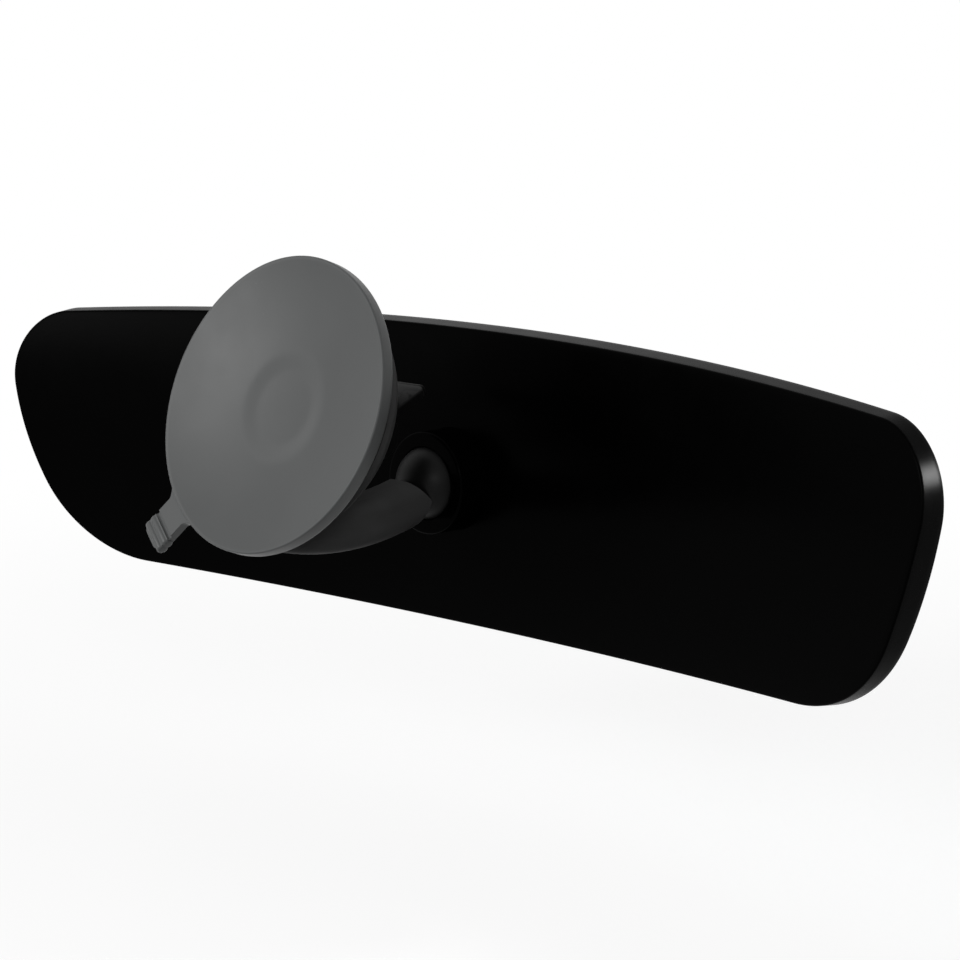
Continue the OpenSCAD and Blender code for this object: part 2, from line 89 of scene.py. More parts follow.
def grey(level: float) -> Colour:
    """Linear colour of a neutral grey.

    Args:
        level: Brightness as written in an image, from 0 to 255.

    Returns:
        The same grey as linear red, green and blue.
    """
    value = level / 255.0
    linear = value / 12.92 if value <= 0.04045 else ((value + 0.055) / 1.055) ** 2.4
    return (linear, linear, linear)


def tinted(level: float, tint: Colour) -> Colour:
    """Linear colour of a grey that leans towards a tint."""
    base = grey(level)[0]
    return (base * tint[0], base * tint[1], base * tint[2])


def arc(x: float, y: float, r: float, degrees: Iterable[float]) -> list[Point2]:
    """Points on a circle around (x, y) at the given angles."""
    return [(x + r * math.cos(math.radians(a)), y + r * math.sin(math.radians(a))) for a in degrees]


class NodeSketch:
    """Small helper that lays shader nodes for one material."""

    def __init__(self, name: str) -> None:
        """Starts an empty material with a principled shader and object coordinates.

        Args:
            name: Name of the material.
        """
        self.material = bpy.data.materials.new(name)
        self.material.use_nodes = True
        self.tree = self.material.node_tree
        self.tree.nodes.clear()
        self.output = self.tree.nodes.new("ShaderNodeOutputMaterial")
        self.shader = self.tree.nodes.new("ShaderNodeBsdfPrincipled")
        self.coords = self.tree.nodes.new("ShaderNodeTexCoord")
        self.link(self.shader.outputs["BSDF"], self.output.inputs["Surface"])

    def link(self, source: Socket, target: Socket) -> None:
        """Joins two sockets."""
        self.tree.links.new(source, target)

    def setting(self, **values: float) -> None:
        """Sets constant values on the shader's own sockets.

        Args:
            **values: Socket names with underscores for spaces, and their values.
        """
        for name, value in values.items():
            self.shader.inputs[name.replace("_", " ").title().replace("Ior", "IOR")].default_value = value

    def noise(self, scale: float, detail: float = 3.0, stretch: Point3 = (1, 1, 1)) -> Socket:
        """Adds a noise texture on object coordinates.

        Args:
            scale: Noise cells in a metre.
            detail: Octaves of the noise.
            stretch: Scale of the coordinates along each axis.

        Returns:
            The noise's factor socket.
        """
        mapping = self.tree.nodes.new("ShaderNodeMapping")
        mapping.inputs["Scale"].default_value = stretch
        texture = self.tree.nodes.new("ShaderNodeTexNoise")
        texture.inputs["Scale"].default_value = scale
        texture.inputs["Detail"].default_value = detail
        self.link(self.coords.outputs["Object"], mapping.inputs["Vector"])
        self.link(mapping.outputs["Vector"], texture.inputs["Vector"])
        return texture.outputs["Fac"]

    def cells(self, scale: float) -> Socket:
        """Adds a cell texture and returns the distance to each cell's point."""
        texture = self.tree.nodes.new("ShaderNodeTexVoronoi")
        texture.inputs["Scale"].default_value = scale
        self.link(self.coords.outputs["Object"], texture.inputs["Vector"])
        return texture.outputs["Distance"]

    def ramp(self, source: Socket, stops: Sequence[tuple[float, Colour]]) -> Socket:
        """Adds a colour ramp.

        Args:
            source: Factor that drives the ramp.
            stops: Positions and colours.

        Returns:
            The ramp's colour socket.
        """
        node = self.tree.nodes.new("ShaderNodeValToRGB")
        elements = node.color_ramp.elements
        while len(elements) < len(stops):
            elements.new(0.5)
        for element, (place, colour) in zip(elements, stops):
            element.position = place
            element.color = (*colour, 1.0)
        self.link(source, node.inputs["Fac"])
        return node.outputs["Color"]

    def between(self, source: Socket, first: Colour, second: Colour) -> Socket:
        """Runs from one colour to another over the noise's range and returns the result."""
        return self.ramp(source, list(zip(NOISE_BAND, (first, second))))

    def spread(self, source: Socket, low: float, high: float) -> Socket:
        """Maps the noise's range onto another one and returns the result."""
        node = self.tree.nodes.new("ShaderNodeMapRange")
        for name, value in zip(("From Min", "From Max", "To Min", "To Max"), (*NOISE_BAND, low, high)):
            node.inputs[name].default_value = value
        self.link(source, node.inputs["Value"])
        return node.outputs["Result"]

    def blend(self, factor: Socket, first: Socket, second: Socket) -> Socket:
        """Mixes two colours by a factor and returns the result."""
        node = self.tree.nodes.new("ShaderNodeMix")
        node.data_type = "RGBA"
        self.link(factor, node.inputs["Factor"])
        self.link(first, node.inputs["A"])
        self.link(second, node.inputs["B"])
        return node.outputs["Result"]

    def bump(self, height: Socket, depth: float, strength: float) -> None:
        """Adds a bump of a height socket to the shader.

        Args:
            height: Socket with the height.
            depth: Height of the bump in metres.
            strength: Share of the bump that shows.
        """
        node = self.tree.nodes.new("ShaderNodeBump")
        node.inputs["Distance"].default_value = depth
        node.inputs["Strength"].default_value = strength
        self.link(height, node.inputs["Height"])
        self.link(node.outputs["Normal"], self.shader.inputs["Normal"])

    def colour(self, socket: Socket) -> None:
        """Feeds a colour socket to the shader."""
        self.link(socket, self.shader.inputs["Base Color"])

    def roughness(self, socket: Socket) -> None:
        """Feeds a roughness socket to the shader."""
        self.link(socket, self.shader.inputs["Roughness"])


@dataclass(frozen=True)
class MouldedPlastic:
    """Moulded plastic with faint flow mottling and a fine grain."""

    name: str
    level: float
    tint: Colour = (1.0, 1.0, 1.0)
    rough: tuple[float, float] = (0.3, 0.4)
    shades: tuple[float, float] = (0.86, 1.12)
    mottle_scale: float = 38.0
    wear_scale: float = 120.0
    grain_scale: float = 2600.0
    grain_depth: float = 0.00002
    grain_strength: float = 0.2
    specular: float = 0.5

    def make(self) -> Material:
        """Builds the material.

        Returns:
            The finished material.
        """
        sketch = NodeSketch(self.name)
        mottle = sketch.noise(self.mottle_scale, 4.0, (1.0, 1.0, 1.6))
        sketch.colour(sketch.between(mottle, *(tinted(self.level * share, self.tint) for share in self.shades)))
        sketch.roughness(sketch.spread(sketch.noise(self.wear_scale, 3.0), *self.rough))
        sketch.bump(sketch.noise(self.grain_scale, 2.0), self.grain_depth, self.grain_strength)
        sketch.setting(specular_ior_level=self.specular)
        return sketch.material


@dataclass(frozen=True)
class SatinRubber:
    """Soft grey rubber with cloudy bloom and a few specks of dust."""

    name: str
    level: float
    tint: Colour = (0.96, 1.0, 1.0)
    dust: float = 150.0
    shades: tuple[float, float] = (0.97, 1.03)
    rough: tuple[float, float] = (0.41, 0.46)
    bloom_scale: float = 45.0
    speck_scale: float = 520.0
    patch_scale: float = 160.0
    wear_scale: float = 90.0
    grain_scale: float = 1500.0
    grain_depth: float = 0.00002
    grain_strength: float = 0.25
    specular: float = 0.3
    sheen: float = 0.05

    def make(self) -> Material:
        """Builds the material.

        Returns:
            The finished material.
        """
        sketch = NodeSketch(self.name)
        black, white = (0.0, 0.0, 0.0), (1.0, 1.0, 1.0)
        clouds = sketch.noise(self.bloom_scale, 5.0)
        bloom = sketch.between(clouds, *(tinted(self.level * share, self.tint) for share in self.shades))
        specks = sketch.ramp(sketch.cells(self.speck_scale), [(0.03, white), (0.055, black)])
        patches = sketch.ramp(sketch.noise(self.patch_scale, 1.0), [(0.6, black), (0.68, (0.6, 0.6, 0.6))])
        rare = sketch.tree.nodes.new("ShaderNodeMath")
        rare.operation = "MULTIPLY"
        sketch.link(specks, rare.inputs[0])
        sketch.link(patches, rare.inputs[1])
        dusty = sketch.ramp(rare.outputs["Value"], [(0.0, tinted(self.level, self.tint)), (1.0, grey(self.dust))])
        sketch.colour(sketch.blend(rare.outputs["Value"], bloom, dusty))
        sketch.roughness(sketch.spread(sketch.noise(self.wear_scale, 3.0), *self.rough))
        sketch.bump(sketch.noise(self.grain_scale, 3.0), self.grain_depth, self.grain_strength)
        sketch.setting(specular_ior_level=self.specular, sheen_weight=self.sheen)
        return sketch.material


@dataclass(frozen=True)
class Metal:
    """Plated or silvered metal with faint streaks."""

    name: str
    colour: Colour
    rough: tuple[float, float]
    streak: Point3 = (1.0, 6.0, 1.0)
    mottle: float = 0.07
    streak_scale: float = 420.0

    def make(self) -> Material:
        """Builds the material.

        Returns:
            The finished material.
        """
        sketch = NodeSketch(self.name)
        streaks = sketch.noise(self.streak_scale, 3.0, self.streak)
        darker = tuple((1.0 - self.mottle) * c for c in self.colour)
        sketch.colour(sketch.between(streaks, darker, self.colour))
        sketch.roughness(sketch.spread(streaks, *self.rough))
        sketch.setting(metallic=1.0)
        return sketch.material


@dataclass(frozen=True)
class OpenFoam:
    """Dark foam sheet with open cells, with painted shade in its pores."""

    name: str
    level: float
    cell_scale: float = 1800.0
    painted_pore_shade: float = 0.6
    pore_depth: float = 0.0002
    pore_strength: float = 0.6
    rough: float = 0.9

    def make(self) -> Material:
        """Builds the material.

        Returns:
            The finished material.
        """
        sketch = NodeSketch(self.name)
        pores = sketch.cells(self.cell_scale)
        # The pits of the cells are coloured darker than the foam: painted shade in the pores, on top of the real
        # pits that the bump makes
        sketch.colour(sketch.ramp(pores, [(0.1, grey(self.level * self.painted_pore_shade)), (0.5, grey(self.level))]))
        sketch.bump(pores, self.pore_depth, self.pore_strength)
        sketch.setting(roughness=self.rough)
        return sketch.material


class Finish(Enum):
    """Finishes of this mirror."""

    SHELL = MouldedPlastic("shell_black", 2.5, rough=(0.24, 0.29), grain_strength=0.03, specular=0.008)
    COLLAR = MouldedPlastic("collar_black", 2.5, rough=(0.16, 0.2), grain_strength=0.03, specular=0.008)
    BALL = MouldedPlastic("ball_dark", 15.0, rough=(0.4, 0.48), grain_strength=0.1, specular=0.1)
    # Level lifted well above the lever's, though arm and lever are the same dark plastic, to make up for the shade
    # that the arm lies in: painted light
    SATIN = MouldedPlastic("satin_dark", 80.0, rough=(0.42, 0.52), grain_strength=0.3, specular=0.012)
    # Level set low to hold back the light that falls on the handle plate: painted shade
    LEVER = MouldedPlastic("lever_dark", 24.0, rough=(0.34, 0.42), grain_strength=0.2, specular=0.03)
    RUBBER = SatinRubber("cup_rubber", 84.0)
    NYLON = MouldedPlastic("liner_nylon", 214.0, tint=(1.0, 0.985, 0.95), rough=(0.4, 0.5))
    FILM = MouldedPlastic("shatter_film", 58.0, rough=(0.3, 0.4))
    FOAM = OpenFoam("bonding_foam", 58.0)
    STEEL = Metal("plated_steel", (0.6, 0.6, 0.61), (0.22, 0.34))
    SILVER = Metal("silvered_glass", (0.8, 0.83, 0.85), (0.012, 0.02), (1.0, 1.0, 1.0), 0.008)


class Palette:
    """Makes each finish once and hands it out."""

    def __init__(self) -> None:
        """Starts with no finish made."""
        self._made: dict[Finish, Material] = {}

    def get(self, finish: Finish) -> Material:
        """Returns the material of a finish."""
        if finish not in self._made:
            self._made[finish] = finish.value.make()
        return self._made[finish]

    def dress(self, piece: Piece, finish: Finish) -> None:
        """Puts one finish on a whole piece."""
        piece.data.materials.clear()
        piece.data.materials.append(self.get(finish))


@dataclass(frozen=True)
class Part:
    """What a new piece stands for: its node, slot, body and finish."""

    node: str
    slot: Slot
    body: Body
    finish: Finish

    def enter(self, piece: Piece, palette: Palette) -> Piece:
        """Dresses a finished piece, hides the node that it stands for and puts it on its body.

        Args:
            piece: Finished piece.
            palette: Finishes.

        Returns:
            The piece.
        """
        palette.dress(piece, self.finish)
        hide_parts(self.node)
        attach(piece, self.body.value)
        log.info("%s: %d faces", piece.name, len(piece.data.polygons))
        return piece


class Bench:
    """Modelling steps that the pieces share."""

    @staticmethod
    def clear_selection() -> None:
        """Leaves edit mode and deselects everything."""
        if bpy.context.mode != "OBJECT":
            bpy.ops.object.mode_set(mode="OBJECT")
        bpy.ops.object.select_all(action="DESELECT")

    @staticmethod
    def activate(piece: Piece) -> None:
        """Makes one piece the only selected and active one."""
        Bench.clear_selection()
        piece.select_set(True)
        bpy.context.view_layer.objects.active = piece

    @staticmethod
    def net(name: str, rows: Sequence[Sequence[Point3]]) -> Piece:
        """Shapes a grid into a closed band, one grid row for each ring of points.

        Args:
            name: Name of the piece.
            rows: Rings of equally many points in metres.

        Returns:
            The piece, closed around and at its first and last ring.
        """
        around, along = len(rows[0]), len(rows) - 1
        Bench.clear_selection()
        bpy.ops.mesh.primitive_grid_add(x_subdivisions=around, y_subdivisions=along, size=2.0)
        piece = bpy.context.active_object
        piece.name = piece.data.name = name
        for vertex in piece.data.vertices:
            column = round((vertex.co.x + 1.0) * 0.5 * around)
            row = round((vertex.co.y + 1.0) * 0.5 * along)
            vertex.co = rows[row][column % around]
        Bench.tidy(piece)
        return piece

    @staticmethod
    def turned(name: str, profile: Sequence[Point2], centre: Point3, steps: int) -> Piece:
        """Turns a half profile around an axis along Y.

        Args:
            name: Name of the piece.
            profile: Points (radius, place along the axis) in millimetres.
            centre: Point of the axis from which the places count, in millimetres.
            steps: Steps of the turn.

        Returns:
            The turned piece.
        """
        x, y, z = centre
        turns = [math.tau * i / steps for i in range(steps)]
        rows = []
        for r, s in profile:
            rows.append([((x + r * math.cos(t)) * MM, (y + s) * MM, (z + r * math.sin(t)) * MM) for t in turns])
        return Bench.net(name, rows)

    @staticmethod
    def tidy(piece: Piece, gap: float = 1e-6) -> None:
        """Merges doubles, closes open ends and turns the faces outwards.

        Args:
            piece: Piece to tidy.
            gap: Distance within which points are merged.
        """
        Bench.activate(piece)
        bpy.ops.object.mode_set(mode="EDIT")
        bpy.ops.mesh.select_all(action="SELECT")
        bpy.ops.mesh.remove_doubles(threshold=gap)
        bpy.ops.mesh.select_all(action="DESELECT")
        bpy.ops.mesh.select_mode(type="EDGE")
        bpy.ops.mesh.select_non_manifold(extend=False)
        bpy.ops.mesh.fill_holes(sides=0)
        bpy.ops.mesh.select_all(action="SELECT")
        bpy.ops.mesh.normals_make_consistent(inside=False)
        bpy.ops.object.mode_set(mode="OBJECT")

    @staticmethod
    def smooth(piece: Piece, degrees: float = 35.0) -> None:
        """Shades a piece smoothly up to an angle between faces."""
        Bench.activate(piece)
        bpy.ops.object.shade_smooth_by_angle(angle=math.radians(degrees))

    @staticmethod
    def round_edges(piece: Piece, width: float, segments: int = 3, degrees: float = 40.0) -> None:
        """Rounds the sharp edges of a piece with an applied bevel.

        Args:
            piece: Piece to round.
            width: Width of the rounding in metres.
            segments: Steps of the rounding.
            degrees: Angle from which an edge counts as sharp.
        """
        Bench.activate(piece)
        bevel = piece.modifiers.new("round", "BEVEL")
        bevel.width = width
        bevel.segments = segments
        bevel.limit_method = "ANGLE"
        bevel.angle_limit = math.radians(degrees)
        bpy.ops.object.modifier_apply(modifier=bevel.name)

    @staticmethod
    def slab(name: str, outline: Sequence[Point2], thickness: float) -> Piece:
        """Extrudes a flat outline from the XY plane.

        Args:
            name: Name of the piece.
            outline: Corner points in metres.
            thickness: Height of the slab.

        Returns:
            The slab, standing on the XY plane.
        """
        Bench.clear_selection()
        bpy.ops.mesh.primitive_circle_add(vertices=len(outline), fill_type="NGON")
        piece = bpy.context.active_object
        piece.name = piece.data.name = name
        order = sorted(
            range(len(outline)),
            key=lambda i: math.atan2(piece.data.vertices[i].co.y, piece.data.vertices[i].co.x) % math.tau,
        )
        for index, point in zip(order, outline):
            piece.data.vertices[index].co = (point[0], point[1], 0.0)
        bpy.ops.object.mode_set(mode="EDIT")
        bpy.ops.mesh.select_all(action="SELECT")
        bpy.ops.mesh.extrude_region_move(TRANSFORM_OT_translate={"value": (0.0, 0.0, thickness)})
        bpy.ops.mesh.select_all(action="SELECT")
        bpy.ops.mesh.normals_make_consistent(inside=False)
        bpy.ops.object.mode_set(mode="OBJECT")
        return piece

    @staticmethod
    def rod(name: str, radius: float, length: float, middle: Point3, upright: bool = False) -> Piece:
        """Makes a rod along Y, or along Z.

        Args:
            name: Name of the piece.
            radius: Radius in millimetres.
            length: Length in millimetres.
            middle: Place of its middle in millimetres.
            upright: Whether it stands along Z.

        Returns:
            The rod.
        """
        Bench.clear_selection()
        bpy.ops.mesh.primitive_cylinder_add(
            vertices=ROD_SIDES,
            radius=radius * MM,
            depth=length * MM,
            location=[c * MM for c in middle],
            rotation=(0 if upright else math.pi / 2, 0, 0),
        )
        piece = bpy.context.active_object
        piece.name = piece.data.name = name
        bpy.ops.object.transform_apply(location=True, rotation=True, scale=True)
        return piece

    @staticmethod
    def block(size: float, matrix: Matrix) -> Piece:
        """Makes a cube of a size in millimetres and moves its mesh by a matrix."""
        Bench.clear_selection()
        bpy.ops.mesh.primitive_cube_add(size=size * MM)
        block = bpy.context.active_object
        Bench.place(block, matrix)
        return block

    @staticmethod
    def cut(piece: Piece, cutter: Piece) -> None:
        """Cuts one piece out of another and removes the cutter.

        Args:
            piece: Piece to cut.
            cutter: Closed piece that is taken away.
        """
        Bench.activate(piece)
        boolean = piece.modifiers.new("cut", "BOOLEAN")
        boolean.operation = "DIFFERENCE"
        boolean.solver = "EXACT"
        boolean.object = cutter
        bpy.ops.object.modifier_apply(modifier=boolean.name)
        bpy.data.objects.remove(cutter, do_unlink=True)

    @staticmethod
    def place(piece: Piece, matrix: Matrix) -> None:
        """Moves a piece's mesh, and leaves its object at the origin."""
        piece.data.transform(matrix)
        piece.data.update()

    @staticmethod
    def join(pieces: Sequence[Piece], name: str) -> Piece:
        """Joins pieces into the first one.

        Args:
            pieces: Pieces to join.
            name: Name of the result.

        Returns:
            The joined piece.
        """
        Bench.clear_selection()
        for piece in pieces:
            piece.select_set(True)
        bpy.context.view_layer.objects.active = pieces[0]
        bpy.ops.object.join()
        pieces[0].name = pieces[0].data.name = name
        return pieces[0]


@dataclass
class HeadOutline:
    """Outline of the head: four long arcs joined by corner arcs, in millimetres."""

    width: float = 287.0
    height: float = 69.0
    top_rise: float = 6.8
    bottom_drop: float = 1.5
    end_lean: float = 18.4
    end_bow: float = 5.2
    top_corner_r: float = 16.5
    bottom_corner_r: float = 34.0
    steps: tuple[int, int, int, int, int] = (60, 40, 16, 40, 52)

    @staticmethod
    def _radius(chord: float, rise: float) -> float:
        """Radius of an arc with a chord and a rise."""
        return (chord * chord / 4 + rise * rise) / (2 * rise)

    @staticmethod
    def _meet(a: Vector, ra: float, b: Vector, rb: float, side: int) -> Vector:
        """Point at given distances from two points, left (1) or right (-1) of the line between them."""
        way = b - a
        d = way.length
        t = (d * d + ra * ra - rb * rb) / (2 * d)
        way.normalize()
        return a + t * way + side * math.sqrt(ra * ra - t * t) * Vector((-way.y, way.x))

    def __post_init__(self) -> None:
        """Works out the arcs' centres and radii."""
        h = self.height
        top = Vector((self.width / 2, h / 2 - self.top_rise))
        low = Vector((self.width / 2 - h * math.tan(math.radians(self.end_lean)), self.bottom_drop - h / 2))
        self.top_r = self._radius(self.width, self.top_rise)
        self.low_r = self._radius(2 * low.x, self.bottom_drop)
        self.end_r = self._radius((top - low).length, self.end_bow)
        self.top_c = Vector((0, h / 2 - self.top_r))
        self.low_c = Vector((0, self.low_r - h / 2))
        up = (top - low).normalized()
        self.end_c = (top + low) / 2 + (self.end_r - self.end_bow) * Vector((-up.y, up.x))
        self.top_round = self._meet(
            self.top_c, self.top_r - self.top_corner_r, self.end_c, self.end_r - self.top_corner_r, -1
        )
        self.low_round = self._meet(
            self.low_c, self.low_r - self.bottom_corner_r, self.end_c, self.end_r - self.bottom_corner_r, 1
        )

    @staticmethod
    def _arc(centre: Vector, radius: float, start: Vector, end: Vector, steps: int) -> list[Point2]:
        """Points on an arc from one direction to another, without the last one."""
        a0 = math.atan2(start.y, start.x)
        turn = (math.atan2(end.y, end.x) - a0 + math.pi) % math.tau - math.pi
        points = []
        for i in range(steps):
            angle = a0 + turn * i / steps
            points.append((centre.x + radius * math.cos(angle), centre.y + radius * math.sin(angle)))
        return points

    def ring(self, inset: float) -> list[Point2]:
        """Points around the outline, clockwise from the middle of the top edge.

        Args:
            inset: Distance inside the outline.

        Returns:
            Points (x, z) in millimetres.
        """
        to_top = self.top_round - self.top_c
        to_end_high = self.top_round - self.end_c
        to_end_low = self.low_round - self.end_c
        to_low = self.low_round - self.low_c
        n = self.steps
        half = self._arc(self.top_c, self.top_r - inset, Vector((0, 1)), to_top, n[0])
        half += self._arc(self.top_round, self.top_corner_r - inset, to_top, to_end_high, n[1])
        half += self._arc(self.end_c, self.end_r - inset, to_end_high, to_end_low, n[2])
        half += self._arc(self.low_round, self.bottom_corner_r - inset, to_end_low, to_low, n[3])
        half += self._arc(self.low_c, self.low_r - inset, to_low, Vector((0, -1)), n[4])
        bottom = (0.0, inset - self.height / 2)
        return half + [bottom] + [(-x, z) for x, z in reversed(half[1:])]


@dataclass
class Head:
    """The mirror's head: a moulded shell with eased edges, in millimetres from the ball centre."""

    outline: HeadOutline = field(default_factory=HeadOutline)
    front: float = 15.814
    bow_r: float = 510.0
    back_bow_r: float = 600.0
    mid_depth: float = 10.2
    edge_depth: float = 6.1
    back_t: float = 1.8
    rim_t: float = 1.5
    wall_t: float = 3.1
    ledge_depth: float = 3.3
    ledge_gap: float = 0.05
    hole_r: float = 11.72
    back_round: float = 0.5
    lean: float = 0.5
    rim_round: float = 0.45
    wall_shares: Point3 = (0.25, 0.5, 0.75)
    hold_insets: tuple[float, float] = (2.2, 3.1)
    face_inset: float = 4.0
    gather: float = 1.4
    steps: int = 22

    def _bowed(self, x: float, depth: float) -> float:
        """Y of the glass side's bow at a depth behind the rim."""
        return self.front - self.bow_r + math.sqrt((self.bow_r - depth) ** 2 - x * x)

    def _back(self, x: float, z: float) -> float:
        """Y of the back, bowed in plan and crowned in height."""
        rise = self.mid_depth - self.edge_depth
        crown = (self.outline.height**2 / 4 + rise * rise) / (2 * rise)
        radius = self.back_bow_r + crown - math.sqrt(crown * crown - z * z)
        return self.front - self.mid_depth - self.back_bow_r + math.sqrt(radius * radius - x * x)

    def _floor(self, x: float, z: float) -> float:
        """Y of the shell's inner floor, no nearer to the glass than the ledge."""
        return min(self._back(x, z) + self.back_t, self._bowed(x, self.ledge_depth + self.ledge_gap))

    def _wall(self, x: float, z: float, share: float) -> float:
        """Y of the outer wall, at a share of the way from the rim (0) to the back (1)."""
        return (1 - share) * self._bowed(x, self.rim_round) + share * (self._back(x, z) + self.back_round)

    def _ring(self, inset: float, height: Callable[[float, float], float], share: float = 0.0) -> list[Point3]:
        """Points of one ring in the row frame, in metres.

        Args:
            inset: Distance inside the outline.
            height: Y of the ring at a point (x, z).
            share: How far the ring has gone from the outline (0) to the hole for the socket (1).

        Returns:
            The ring's points.
        """
        points = []
        for x, z in self.outline.ring(inset):
            angle = math.atan2(z / self.outline.height, x / self.outline.width)
            u = x + share * (self.hole_r * math.cos(angle) - x)
            w = z + share * (self.hole_r * math.sin(angle) - z)
            points.append(((u + BALL[0]) * MM, (height(u, w) + BALL[1]) * MM, (w + BALL[2]) * MM))
        return points

    def _rows(self) -> list[list[Point3]]:
        """Rings of the shell from the socket's hole along the inside, over the rim and back along the outside."""
        quarter = [math.radians(a) for a in range(0, 91, 18)]
        r, b = self.rim_round, self.back_round
        shares = [(1.0 - i / self.steps) ** self.gather for i in range(self.steps + 1)]
        rows = [self._ring(self.wall_t, self._floor, share) for share in shares]
        for inset in (self.wall_t, self.rim_t):
            rows.append(self._ring(inset, lambda x, z: self._bowed(x, self.ledge_depth)))
        for a in quarter:
            depth = r - r * math.sin(a)
            rows.append(self._ring(self.rim_t - r + r * math.cos(a), lambda x, z, d=depth: self._bowed(x, d)))
        for a in quarter:
            depth = r - r * math.cos(a)
            rows.append(self._ring(r - r * math.sin(a), lambda x, z, d=depth: self._bowed(x, d)))
        for share in self.wall_shares:
            rows.append(self._ring(share * self.lean, lambda x, z, t=share: self._wall(x, z, t)))
        for a in quarter:
            lift = b - b * math.sin(a)
            inset = self.lean + b - b * math.cos(a)
            rows.append(self._ring(inset, lambda x, z, d=lift: self._back(x, z) + d))
        rows += [self._ring(inset, self._back) for inset in self.hold_insets]
        rows += [self._ring(self.face_inset, self._back, share) for share in reversed(shares)]
        rows.append(rows[0])
        return rows

    def build(self, palette: Palette) -> Piece:
        """Models the shell.

        Args:
            palette: Finishes.

        Returns:
            The shell.
        """
        shell = Bench.net("shell_skin", self._rows())
        Bench.smooth(shell, degrees=50.0)
        return Part("back_shell", Slot.GLOSS_BLACK, Body.HEAD, Finish.SHELL).enter(shell, palette)


@dataclass
class SocketCollar:
    """The collar around the ball with its flange, turned with eased edges, in millimetres from the ball centre."""

    collar_r: float = 11.62
    lip_reach: float = 2.8
    lip_t: float = 1.0
    mouth_r: float = 8.184
    pocket_r: float = 9.72
    flange_r: float = 17.5
    flange_back: float = 8.864
    front: float = 11.064
    ease: float = 0.6
    mouth_ease: float = 0.2
    spin_steps: int = 128

    def _profile(self) -> list[Point2]:
        """Closed half profile (radius, distance from the ball centre towards the glass)."""
        e, m, lip = self.ease, self.mouth_ease, -self.lip_reach
        points = [(self.mouth_r, lip + self.lip_t), (self.mouth_r, lip + m), (self.mouth_r + m, lip)]
        points += arc(self.collar_r - e, lip + e, e, range(-90, 1, 15))
        points += [(self.collar_r, self.flange_back), (self.flange_r, self.flange_back)]
        points += [(self.flange_r, self.front), (self.pocket_r, self.front), (self.pocket_r, 0.0)]
        for i in range(1, 6):
            s = (lip + self.lip_t) * i / 5
            points.append((math.sqrt(self.pocket_r**2 - s * s), s))
        return [*points, points[0]]

    def build(self, palette: Palette) -> Piece:
        """Models the collar.

        Args:
            palette: Finishes.

        Returns:
            The collar.
        """
        collar = Bench.turned("collar_skin", self._profile(), BALL, self.spin_steps)
        Bench.smooth(collar, degrees=30.0)
        return Part("socket_housing", Slot.GLOSS_BLACK, Body.HEAD, Finish.COLLAR).enter(collar, palette)


